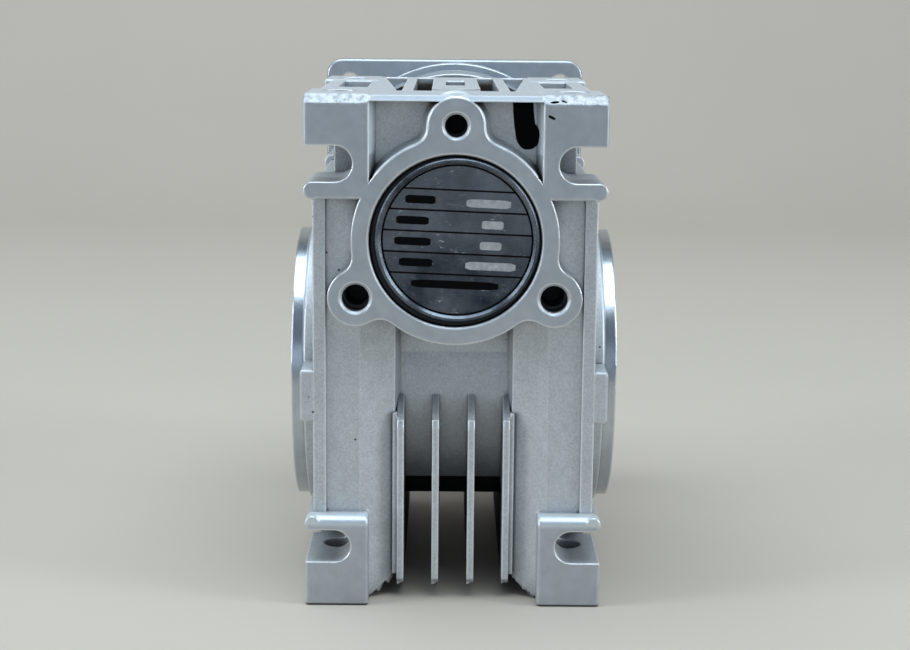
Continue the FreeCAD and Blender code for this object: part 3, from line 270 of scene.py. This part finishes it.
def cast_aluminium():
    """Die casting: grained as cast, smoother where milled, wrinkled on its rubbed top edges, with
    shade and highlights painted in.
    """
    m = Shader("cast_aluminium")
    milled = m.math("MAXIMUM", m.beyond("Y", MILLED_Y), m.beyond("X", MILLED_X))
    as_cast = m.opposite(milled)
    crest = lug_crest(m)
    grain = m.noise(2300, 4, 0.7)
    sand = m.noise(5200, 3)
    clouds = m.noise(60, 5)
    streaks = m.noise(420, 4)
    wrinkles = m.noise(900, 6, 0.72)
    pits = m.all_of(m.grey(m.cells(330), 0.10, 0.05), m.grey(m.noise(45, 2), 0.57, 0.63))
    drag = m.grey(m.noise(500, 4, 0.6, m.stretched((1.0, 1.0, 0.06))), 0.70, 0.76)
    # Shade painted into the colour far down in holes and narrow pockets, found by ambient
    # occlusion.
    painted_hole_shade = m.hollows(7 * MM, 0.13, 0.54)
    # Shade painted into tight concave creases, found by ambient occlusion; these edges get no
    # painted highlight.
    painted_crease_shade = m.hollows(0.7 * MM, 0.50, 0.88)
    # Edges outside tight creases, lighter and smoother: partly wear, partly a painted highlight of
    # their small fillets.
    edge_wear_and_highlight = m.all_of(m.edges(0.6 * MM), m.opposite(painted_crease_shade))

    # Colours of the painted highlights: on edges, and on the pocket's steep sides and the feet's
    # lips.
    edge_highlight_white, highlight_blue = (0.93, 0.95, 0.97), (0.88, 0.95, 1.0)
    cast = m.ramp(clouds, [(0.3, (0.52, 0.545, 0.575)), (0.7, (0.62, 0.645, 0.67))])
    speckle = m.ramp(grain, [(0.32, (0.32, 0.335, 0.35)), (0.68, (0.80, 0.82, 0.84))])
    cut = m.ramp(clouds, [(0.3, (0.42, 0.455, 0.50)), (0.7, (0.51, 0.55, 0.60))])
    smears = m.ramp(streaks, [(0.35, (0.40, 0.43, 0.46)), (0.7, (0.68, 0.71, 0.74))])
    scuffed = m.ramp(wrinkles, [(0.38, (0.30, 0.31, 0.32)), (0.54, (0.62, 0.65, 0.68))])
    base = m.mix(milled, m.mix(0.45, cast, speckle), cut)
    base = m.mix(0.22, base, smears)
    base = m.mix(m.share(drag, 0.25), base, (0.30, 0.31, 0.32))
    base = m.mix(m.share(deck_lip(m), 0.75), base, (0.20, 0.23, 0.27))
    # Painted highlight along the edges, partly wear.
    base = m.mix(m.share(edge_wear_and_highlight, 0.8), base, edge_highlight_white)
    # Painted shade in tight creases.
    base = m.mix(m.share(painted_crease_shade, 0.55), base, (0.10, 0.11, 0.125))
    # Painted highlight on the top pocket's steep sides.
    base = m.mix(m.share(pocket_slope_highlight(m), 0.85), base, highlight_blue)
    # Painted highlight on the feet's round top front edges.
    base = m.mix(m.share(foot_lip_highlight(m), 0.55), base, highlight_blue)
    # Painted shadow, near black, on the belly's underside between the fins.
    base = m.mix(belly_painted_shadow(m), base, (0.035, 0.037, 0.04))
    base = m.mix(m.share(crest, 0.8), base, scuffed)
    # Painted shade, near black, far down in holes and narrow pockets.
    base = m.mix(m.share(painted_hole_shade, 0.93), base, (0.012, 0.013, 0.015))
    base = m.mix(pits, base, (0.03, 0.03, 0.035))
    m.set("Base Color", base)
    m.set("Metallic", m.math("ADD", m.share(milled, 0.28), 0.68))

    rough = m.math("ADD", m.share(streaks, 0.10), 0.40)
    rough = m.math("ADD", rough, m.share(as_cast, 0.08))
    rough = m.math("SUBTRACT", rough, m.share(edge_wear_and_highlight, 0.14))
    rough = m.math("SUBTRACT", rough, m.share(m.beyond("X", TURNED_X), 0.22))
    m.set("Roughness", rough)

    normal = m.rounded(0.55 * MM)
    normal = m.bump(grain, m.share(as_cast, 0.55), 0.06 * MM, normal)
    normal = m.bump(sand, 0.22, 0.025 * MM, normal)
    normal = m.bump(wrinkles, m.share(crest, 0.9), 0.35 * MM, normal)
    normal = m.bump(pits, 0.6, -0.15 * MM, normal)
    m.set("Normal", normal)
    return m.material


def machined(name, colour, roughness):
    """Turned or ground metal with fine tool marks."""
    m = Shader(name, Metallic=1.0)
    grain = m.noise(2600, 3)
    darker = tuple(0.80 * part for part in colour)
    lighter = tuple(min(1.0, 1.5 * part + 0.05) for part in colour)
    base = m.ramp(m.noise(120, 3), [(0.3, darker), (0.7, colour)])
    m.set("Base Color", m.mix(m.share(m.edges(0.2 * MM), 0.4), base, lighter))
    m.set("Roughness", m.math("ADD", m.share(grain, 0.12), roughness - 0.06))
    m.set("Normal", m.bump(grain, 0.12, 0.01 * MM, m.rounded(0.15 * MM)))
    return m.material


def rubber():
    """Moulded black rubber with a faint dusty bloom."""
    m = Shader("black_rubber", Metallic=0.0, Specular_IOR_Level=0.22)
    clouds = m.noise(160, 4)
    base = m.ramp(clouds, [(0.3, (0.003, 0.0035, 0.005)), (0.75, (0.011, 0.012, 0.015))])
    m.set("Base Color", m.mix(m.share(m.edges(0.2 * MM), 0.2), base, (0.05, 0.055, 0.06)))
    m.set("Roughness", m.math("ADD", m.share(clouds, 0.2), 0.36))
    m.set("Normal", m.bump(m.noise(3000, 2), 0.15, 0.02 * MM, m.rounded(0.2 * MM)))
    return m.material


def gasket_board():
    """Pressed fibre board."""
    m = Shader("gasket_board", Metallic=0.0, Roughness=0.85)
    m.set("Base Color", m.ramp(m.noise(1500, 4), [(0.3, (0.20, 0.18, 0.15)),
                                                  (0.7, (0.36, 0.33, 0.28))]))
    m.set("Normal", m.bump(m.noise(2500, 3), 0.3, 0.03 * MM))
    return m.material


def name_plate():
    """Dark brushed plate with a painted sheen lighter towards its top, scuffed and scratched, with
    a patchy rim.
    """
    m = Shader("name_plate", Metallic=0.92)
    brushed = m.noise(2400, 4, place=m.stretched((0.08, 1.0, 1.0)))
    clouds = m.noise(110, 5)
    scuffs = m.grey(m.noise(420, 6, 0.75), 0.57, 0.72)
    nicks = m.grey(m.noise(900, 5, 0.7, m.stretched((0.5, 1.0, 1.6))), 0.645, 0.71)
    painted_top_sheen = m.grey(m.along("Z"), 18 * MM, 44 * MM)
    rim = m.ramp(clouds, [(0.35, (0.03, 0.036, 0.05)), (0.72, (0.24, 0.27, 0.31))])
    base = m.ramp(clouds, [(0.34, (0.022, 0.030, 0.048)), (0.68, (0.135, 0.155, 0.19))])
    # Painted sheen: the plate lighter towards its top.
    base = m.mix(m.share(painted_top_sheen, 0.36), base, (0.27, 0.30, 0.34))
    base = m.mix(m.share(scuffs, 0.4), base, (0.34, 0.35, 0.37))
    base = m.mix(m.share(nicks, 0.7), base, (0.62, 0.64, 0.66))
    base = m.mix(m.beyond("Y", 39.66, 0.06), base, rim)
    m.set("Base Color", base)
    m.set("Roughness", m.math("ADD", m.share(brushed, 0.2), 0.18))
    m.set("Normal", m.bump(brushed, 0.12, 0.01 * MM, m.rounded(0.12 * MM)))
    return m.material


def ink(name, colour, roughness):
    """Printed or brushed-on ink with an uneven film."""
    m = Shader(name, Metallic=0.0, Specular_IOR_Level=0.06)
    film = m.noise(900, 4)
    lighter = tuple(1.6 * part + 0.001 for part in colour)
    m.set("Base Color", m.ramp(film, [(0.35, colour), (0.75, lighter)]))
    m.set("Roughness", m.math("ADD", m.share(film, 0.25), roughness))
    m.set("Normal", m.bump(film, 0.2, 0.01 * MM))
    return m.material


def make_materials():
    """One material for each of the record's material slots, and the two inks."""
    return {
        "cast_aluminium": cast_aluminium(),
        "blackened_steel": machined("blackened_steel", (0.035, 0.035, 0.038), 0.42),
        "black_rubber": rubber(),
        "gasket_board": gasket_board(),
        "name_plate": name_plate(),
        "spring_steel": machined("spring_steel", (0.16, 0.16, 0.17), 0.38),
        "bronze": machined("bronze", (0.72, 0.47, 0.20), 0.32),
        "cast_iron": machined("cast_iron", (0.30, 0.30, 0.31), 0.40),
        "ground_steel": machined("ground_steel", (0.56, 0.56, 0.57), 0.25),
        "bearing_steel": machined("bearing_steel", (0.68, 0.68, 0.69), 0.16),
        "cage_steel": machined("cage_steel", (0.45, 0.45, 0.44), 0.35),
        "black_ink": ink("black_ink", (0.001, 0.001, 0.0015), 0.6),
        "pale_ink": ink("pale_ink", (0.30, 0.31, 0.32), 0.45),
    }


def paint_nodes(materials):
    """Gives every CAD node the material of its slot."""
    for part in frame["record"]["subparts"]:
        node = NODES[part["node"]]
        node.data.materials.clear()
        node.data.materials.append(materials[part["material_slot"]])


# ---- Shapes ---------------------------------------------------------------------------------


def piece(name, points, faces, material, slot, smooth=False):
    """A mesh piece given in millimetres that rides on the case."""
    mesh = bpy.data.meshes.new(name)
    mesh.from_pydata([Vector(point) * MM for point in points], [], faces)
    shape = bmesh.new()
    shape.from_mesh(mesh)
    bmesh.ops.recalc_face_normals(shape, faces=shape.faces)
    shape.to_mesh(mesh)
    shape.free()
    for face in mesh.polygons:
        face.use_smooth = smooth
    mesh.materials.append(material)
    thing = bpy.data.objects.new(name, mesh)
    bpy.context.scene.collection.objects.link(thing)
    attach(thing, "case")


def joined(parts):
    """Several (points, faces) shapes as one."""
    points, faces = [], []
    for part_points, part_faces in parts:
        start = len(points)
        points += part_points
        faces += [tuple(start + index for index in face) for face in part_faces]
    return points, faces


def sweep(sections, closed=False):
    """A closed skin over a row of sections that all have the same number of points."""
    count, size = len(sections), len(sections[0])
    points = [point for section in sections for point in section]
    faces = []
    for row in range(count if closed else count - 1):
        for index in range(size):
            after, below = (index + 1) % size, (row + 1) % count
            faces.append((row * size + index, row * size + after,
                          below * size + after, below * size + index))
    if not closed:
        faces.append(tuple(range(size)))
        faces.append(tuple((count - 1) * size + index for index in range(size)))
    return points, faces


# ---- Plate print ----------------------------------------------------------------------------

PLATE_CENTRE = (0.35, 30.25)      # X and Z
PLATE_FACE_Y = -39.55
PRINT_PROUD = 0.03
PRINT_SUNK = 0.02
PRINT_TILT = math.radians(-2.1)
PRINT_WAVE = 0.03
CIRCLE_R = 13.9
CIRCLE_WIDTH = 0.34
LINE_WIDTH = 0.32
LINE_HEIGHTS = (9.3, 5.4, 1.45, -2.5, -6.4)
BAR_TALL = 1.5
BAR_CORNER = 0.25

# Plain bars where words would be, as (height, left, right) from the plate's centre.
DARK_BARS = ((7.3, -9.9, -4.3), (3.4, -11.4, -5.4), (-0.5, -11.6, -4.9), (-4.4, -10.6, -4.4),
             (-8.3, -8.2, 8.0))
PALE_BARS = ((7.0, 1.4, 9.6), (3.1, 4.4, 8.4), (-0.8, 4.2, 8.2), (-4.6, 1.7, 11.0))


def on_plate(across, height, out):
    """A point on the plate, in its own tilted directions."""
    x = PLATE_CENTRE[0] + across * math.cos(PRINT_TILT) - height * math.sin(PRINT_TILT)
    z = PLATE_CENTRE[1] + across * math.sin(PRINT_TILT) + height * math.cos(PRINT_TILT)
    return (x, PLATE_FACE_Y - out, z)


def printed_bar(left, right, height, width, corner=0.0, steps=10):
    """A thin printed bar, narrowed at its ends by the corner, with slightly wavy edges."""
    sections = []
    for step in range(steps + 1):
        across = left + (right - left) * step / steps
        inset = corner if step in (0, steps) else 0.0
        wave = PRINT_WAVE * noise.noise(Vector((3 * across, 2 * height, 0.5)))
        half = width / 2 - inset + wave
        sections.append([on_plate(across, height - half, PRINT_PROUD),
                         on_plate(across, height + half, PRINT_PROUD),
                         on_plate(across, height + half, -PRINT_SUNK),
                         on_plate(across, height - half, -PRINT_SUNK)])
    return sweep(sections)


def printed_circle(radius, width, steps=96):
    """A thin printed ring."""
    near, far = radius - width / 2, radius + width / 2
    corners = ((near, PRINT_PROUD), (far, PRINT_PROUD), (far, -PRINT_SUNK), (near, -PRINT_SUNK))
    sections = []
    for step in range(steps):
        angle = 2 * math.pi * step / steps
        sections.append([on_plate(reach * math.cos(angle), reach * math.sin(angle), out)
                         for reach, out in corners])
    return sweep(sections, closed=True)


def printed_bars(table):
    """A printed bar for each row of a table."""
    return [printed_bar(left, right, height, BAR_TALL, corner=BAR_CORNER)
            for height, left, right in table]


def make_plate_print(materials):
    """The plate's border circle, its five dividing lines, and plain bars where words would be."""
    lines = []
    for height in LINE_HEIGHTS:
        half = math.sqrt(CIRCLE_R ** 2 - height ** 2)
        lines.append(printed_bar(-half, half, height, LINE_WIDTH, steps=24))
    dark = [printed_circle(CIRCLE_R, CIRCLE_WIDTH)] + lines + printed_bars(DARK_BARS)
    pale = printed_bars(PALE_BARS)
    piece("plate_print_dark", *joined(dark), materials["black_ink"], "name_plate")
    piece("plate_print_pale", *joined(pale), materials["pale_ink"], "name_plate")


# ---- Marks and threads ----------------------------------------------------------------------

# The ink mark's outline, as (height, left, right).
INK_ROWS = ((55.68, 10.4, 14.1), (54.0, 10.45, 14.25), (52.5, 10.6, 14.4), (51.4, 10.7, 14.6),
            (50.9, 10.75, 15.2), (50.4, 10.85, 15.5), (49.6, 10.95, 15.6), (48.8, 11.1, 15.5),
            (48.1, 11.35, 15.3), (47.5, 11.8, 14.8), (47.0, 12.4, 14.2), (46.85, 12.9, 13.5))

# A dent in the right lug's face and two chips on its edge: X, Z, half long, half tall, lean.
LUG_MARKS = ((17.4, 53.0, 0.75, 0.28, -0.45), (17.9, 55.75, 0.9, 0.22, 0.1),
             (19.6, 55.9, 0.6, 0.16, -0.3))

# The radius, length and pitch of the threads, and where they start.
EAR_THREAD_RADII = (2.1, 2.55, 2.55)
EAR_THREAD = {"length": 8.0, "pitch": 0.8}
EAR_THREAD_START = 4.4
OUTPUT_THREAD = {"radius": 2.5, "length": 7.0, "pitch": 1.0}
OUTPUT_THREAD_START_X = (28.8, 26.3)      # in the pads, and in the wall above and below


def make_ink_mark(materials):
    """A dab of black marker ink beside the top ear, run a little way up the pocket's side."""
    side_x, slope, run_share, film, raggedness, steps = 14.9, 4.0, 0.55, 0.05, 0.08, 14
    sections = []
    for height, left, right in INK_ROWS:
        front, back = [], []
        for step in range(steps + 1):
            across = left + (right - left) * step / steps
            z = height + raggedness * noise.noise(Vector((2 * across, height, 1.7)))
            run = max(0.0, across - side_x) * run_share
            x = min(across, side_x) + run
            y = POCKET_Y - slope * run
            front.append((x - film * (run > 0), y - film, z))
            back.append((x + film, y + film, z))
        sections.append(front + back[::-1])
    piece("ink_mark", *sweep(sections), materials["black_ink"], "black_rubber", smooth=True)


def thread(centre, inward, radius, length, pitch):
    """A screw thread's ridge on a hole's wall, from its mouth inwards."""
    inward = Vector(inward)
    first = inward.orthogonal().normalized()
    second = inward.cross(first)
    steps, rooted, tall = 28, 0.06, 0.55 * pitch
    root_half, crest_half = 0.44 * pitch, 0.06 * pitch
    sections = []
    for step in range(int(length / pitch * steps) + 1):
        grown = min(1.0, step / steps, (length / pitch * steps - step) / steps + 0.05)
        angle = 2 * math.pi * step / steps
        out = first * math.cos(angle) + second * math.sin(angle)
        middle = Vector(centre) + inward * (pitch * step / steps + 0.5 * pitch)
        root, crest = radius + rooted, radius - tall * grown
        sections.append([tuple(middle + out * reach + inward * shift)
                         for reach, shift in ((root, -root_half), (crest, -crest_half),
                                              (crest, crest_half), (root, root_half))])
    return sweep(sections)


def make_threads(materials):
    """Threads in the three holes round the end cap and in the output faces' holes."""
    parts = []
    for index, radius in enumerate(EAR_THREAD_RADII):
        angle = math.radians(90 + 120 * index)
        centre = (EAR_PITCH_R * math.cos(angle), FACE_Y + EAR_THREAD_START,
                  WORM_Z + EAR_PITCH_R * math.sin(angle))
        parts.append(thread(centre, (0, 1, 0), radius, **EAR_THREAD))
    piece("end_hole_threads", *joined(parts), materials["cast_aluminium"], "cast_aluminium")
    parts = []
    for side in (-1, 1):
        for index in range(4):
            angle = math.radians(90 * index)
            centre = (side * OUTPUT_THREAD_START_X[index % 2],
                      OUTPUT_PITCH_R * math.cos(angle), OUTPUT_PITCH_R * math.sin(angle))
            parts.append(thread(centre, (-side, 0, 0), **OUTPUT_THREAD))
    piece("output_hole_threads", *joined(parts), materials["cast_aluminium"], "cast_aluminium")


def make_lug_marks(materials):
    """A dark dent in the right lug's face, and two dark chips on its rubbed top edge."""
    bevel_z, proud, thick, steps = 55.4, 0.02, 0.12, 14
    parts = []
    for across, height, long, tall, lean in LUG_MARKS:
        front = []
        for step in range(steps):
            angle = 2 * math.pi * step / steps
            reach = 1.0 + 0.25 * noise.noise(Vector((2 * math.cos(angle), across, height)))
            first, second = long * reach * math.cos(angle), tall * reach * math.sin(angle)
            x = across + first * math.cos(lean) - second * math.sin(lean)
            z = height + first * math.sin(lean) + second * math.cos(lean)
            front.append((x, FACE_Y - proud + max(0.0, z - bevel_z), z))
        back = [(x, y + thick, z) for x, y, z in front]
        parts.append(sweep([front, back]))
    piece("lug_marks", *joined(parts), materials["black_ink"], "blackened_steel")


# ---- Casting details ------------------------------------------------------------------------

# The boss's drafted side, as (how far outwards, Y), from its face to its foot and back under it.
DRAFT_PROFILE = ((-0.1, FACE_Y + 0.03), (0.04, FACE_Y + 0.08), (0.30, -38.4), (0.52, -36.9),
                 (0.68, -36.35), (1.05, POCKET_Y - 0.04), (1.1, POCKET_Y + 0.05),
                 (-0.1, POCKET_Y + 0.05))

# A leg's slanted lower edge and a fin's lower corner, as distances from the middle, and Z.
LEG_EDGE = ((15.9, 34.8, -39.3), (14.4, 34.2, -38.0), (12.4, 33.3, -36.4), (10.9, 32.6, -35.2))
FIN_CORNER = ((-0.6, 34.2, -36.7), (0.6, 34.1, -36.8))


def boss_outline(steps=10):
    """The end boss's outline over the top pocket, as (across, up, outward across, outward up)."""
    blend_up = EAR_R + EAR_BLEND
    blend_out = math.sqrt((TUBE_R + EAR_BLEND) ** 2 - blend_up ** 2)
    lean = math.atan2(blend_up, blend_out)
    tube_end = math.radians(52)
    half = []
    for step in range(steps + 1):
        angle = math.pi / 2 * step / steps
        half.append((EAR_R * math.sin(angle), EAR_PITCH_R + EAR_R * math.cos(angle),
                     math.sin(angle), math.cos(angle)))
    for step in range(steps + 1):
        angle = math.pi + (math.pi / 2 - lean) * step / steps
        half.append((blend_up + EAR_BLEND * math.cos(angle),
                     blend_out + EAR_BLEND * math.sin(angle),
                     -math.cos(angle), -math.sin(angle)))
    for step in range(1, steps + 1):
        angle = lean + (tube_end - lean) * step / steps
        half.append((TUBE_R * math.sin(angle), TUBE_R * math.cos(angle),
                     math.sin(angle), math.cos(angle)))
    other = [(-across, up, -out_across, out_up) for across, up, out_across, out_up in half[:0:-1]]
    return other + half


def make_draft(materials):
    """The end boss's drafted side in the top pocket, with a small fillet at its foot."""
    sections = []
    for across, up, out_across, out_up in boss_outline():
        sections.append([(across + reach * out_across, y, WORM_Z + up + reach * out_up)
                         for reach, y in DRAFT_PROFILE])
    piece("boss_draft", *sweep(sections), materials["cast_aluminium"], "cast_aluminium",
          smooth=True)


def flash_strip(path, thickness, fall, seed):
    """A thin ragged fin of metal hanging from a path of points."""
    steps, rooted, tip_half, clear = 9, 0.5, 0.1, 0.05
    half = thickness / 2
    sections = []
    for start, stop in zip(path, path[1:]):
        for step in range(steps):
            x, y, z = Vector(start).lerp(Vector(stop), step / steps)
            ragged = 0.55 + 0.9 * noise.noise(Vector((1.1 * x + seed, 0.6 * z, seed)))
            ragged += 0.18 * noise.noise(Vector((3.0 * x, seed, 2.0 * z)))
            drop = fall * max(0.15, min(1.5, ragged))
            lean = 0.25 * noise.noise(Vector((3 * x, seed, 0)))
            low = max(z - drop, FLOOR_Z + clear)
            sections.append([(x, y - half, z + rooted),
                             (x, y + half, z + rooted),
                             (x + tip_half, y + lean + 0.3 * half, low),
                             (x - tip_half, y + lean - 0.3 * half, low)])
    return sweep(sections)


def make_flash(materials):
    """Ragged casting flash under the legs' slanted edges and on the fins' lower corners."""
    parts = []
    for side in (-1, 1):
        for end in (-1, 1):
            path = [(side * x, end * y, z) for x, y, z in LEG_EDGE]
            parts.append(flash_strip(path, 0.5, 1.1, 3.0 + side + 2 * end))
    for fin in FIN_X:
        for end in (-1, 1):
            path = [(fin + x, end * y, z) for x, y, z in FIN_CORNER]
            parts.append(flash_strip(path, 0.7, 0.7, fin + 5 * end))
    piece("casting_flash", *joined(parts), materials["cast_aluminium"], "cast_aluminium")


# ---- Stage ----------------------------------------------------------------------------------


def plain_material(name, colour, roughness):
    """A plain pale surface for the stage."""
    m = Shader(name, Roughness=roughness)
    lighter = tuple(1.03 * part for part in colour)
    m.set("Base Color", m.ramp(m.noise(8, 2), [(0.2, colour), (0.8, lighter)]))
    return m.material


def make_floor():
    """A pale floor, in metres, that curves up into a backdrop far behind the object."""
    low = CAD_BOX[0][2]
    reach, front, back, rise, bend, steps = 1.6, -1.4, 0.9, 1.4, 0.35, 12
    profile = [(front, low), (back - bend, low)]
    for step in range(1, steps + 1):
        angle = math.pi / 2 * step / steps
        profile.append((back - bend + bend * math.sin(angle), low + bend * (1 - math.cos(angle))))
    profile.append((back, low + rise))
    points, faces = [], []
    for along, height in profile:
        points += [(-reach, along, height), (reach, along, height)]
    for index in range(len(profile) - 1):
        first = 2 * index
        faces.append((first, first + 1, first + 3, first + 2))
    mesh = bpy.data.meshes.new("floor")
    mesh.from_pydata(points, [], faces)
    for face in mesh.polygons:
        face.use_smooth = True
    floor = bpy.data.objects.new("floor", mesh)
    bpy.context.scene.collection.objects.link(floor)
    mesh.materials.append(plain_material("floor_paint", (0.50, 0.44, 0.375), 0.6))


def area_light(name, place, size, power, colour):
    """A soft rectangular light aimed at the middle of the object, in metres and watts."""
    middle = Vector((0.0, 0.0, 0.01))
    data = bpy.data.lights.new(name, "AREA")
    data.shape = "RECTANGLE"
    data.size, data.size_y = size
    data.energy = power
    data.color = colour
    light = bpy.data.objects.new(name, data)
    bpy.context.scene.collection.objects.link(light)
    light.location = place
    light.rotation_euler = (middle - Vector(place)).to_track_quat("-Z", "Y").to_euler()


def make_lights():
    """A broad light overhead, tall ones at the sides, a weak fill from the front and a dim sky."""
    side_size, side_power, side_colour = (0.35, 0.9), 6.5, (0.88, 0.95, 1.0)
    area_light("overhead", (-0.05, -0.10, 1.0), (1.2, 0.7), 12.5, (0.78, 0.91, 1.0))
    area_light("left_side", (-1.1, -0.35, 0.45), side_size, side_power, side_colour)
    area_light("right_side", (1.1, -0.35, 0.45), side_size, side_power, side_colour)
    area_light("front_fill", (-0.2, -1.5, 0.35), (0.7, 0.5), 0.7, (0.75, 0.88, 1.0))
    world = bpy.data.worlds.new("sky")
    bpy.context.scene.world = world
    world.use_nodes = True
    background = world.node_tree.nodes["Background"]
    background.inputs["Color"].default_value = (0.64, 0.81, 1.0, 1.0)
    background.inputs["Strength"].default_value = 0.27


def make_camera():
    """The camera in front of the blind end, looking slightly down at it."""
    place = Vector((-1.64, -378.05, 74.24)) * MM
    yaw, pitch, roll = (math.radians(angle) for angle in (-0.292, 10.022, 0.518))
    forward = Vector((-math.sin(yaw) * math.cos(pitch), math.cos(yaw) * math.cos(pitch),
                      -math.sin(pitch)))
    level = Vector((math.cos(yaw), math.sin(yaw), 0.0))
    upright = level.cross(forward)
    right = math.cos(roll) * level + math.sin(roll) * upright
    up = -math.sin(roll) * level + math.cos(roll) * upright
    turn = Matrix((right, up, -forward)).transposed()
    data = bpy.data.cameras.new("camera")
    data.sensor_width = 36.0
    data.lens = 73.12
    data.clip_start = 0.01
    camera = bpy.data.objects.new("camera", data)
    bpy.context.scene.collection.objects.link(camera)
    camera.matrix_world = Matrix.Translation(place) @ turn.to_4x4()
    bpy.context.scene.camera = camera


make_camera()
MATERIALS = make_materials()
paint_nodes(MATERIALS)
make_plate_print(MATERIALS)
make_ink_mark(MATERIALS)
make_threads(MATERIALS)
make_draft(MATERIALS)
make_lug_marks(MATERIALS)
make_flash(MATERIALS)
make_floor()
make_lights()
bpy.context.scene.view_settings.view_transform = "Standard"
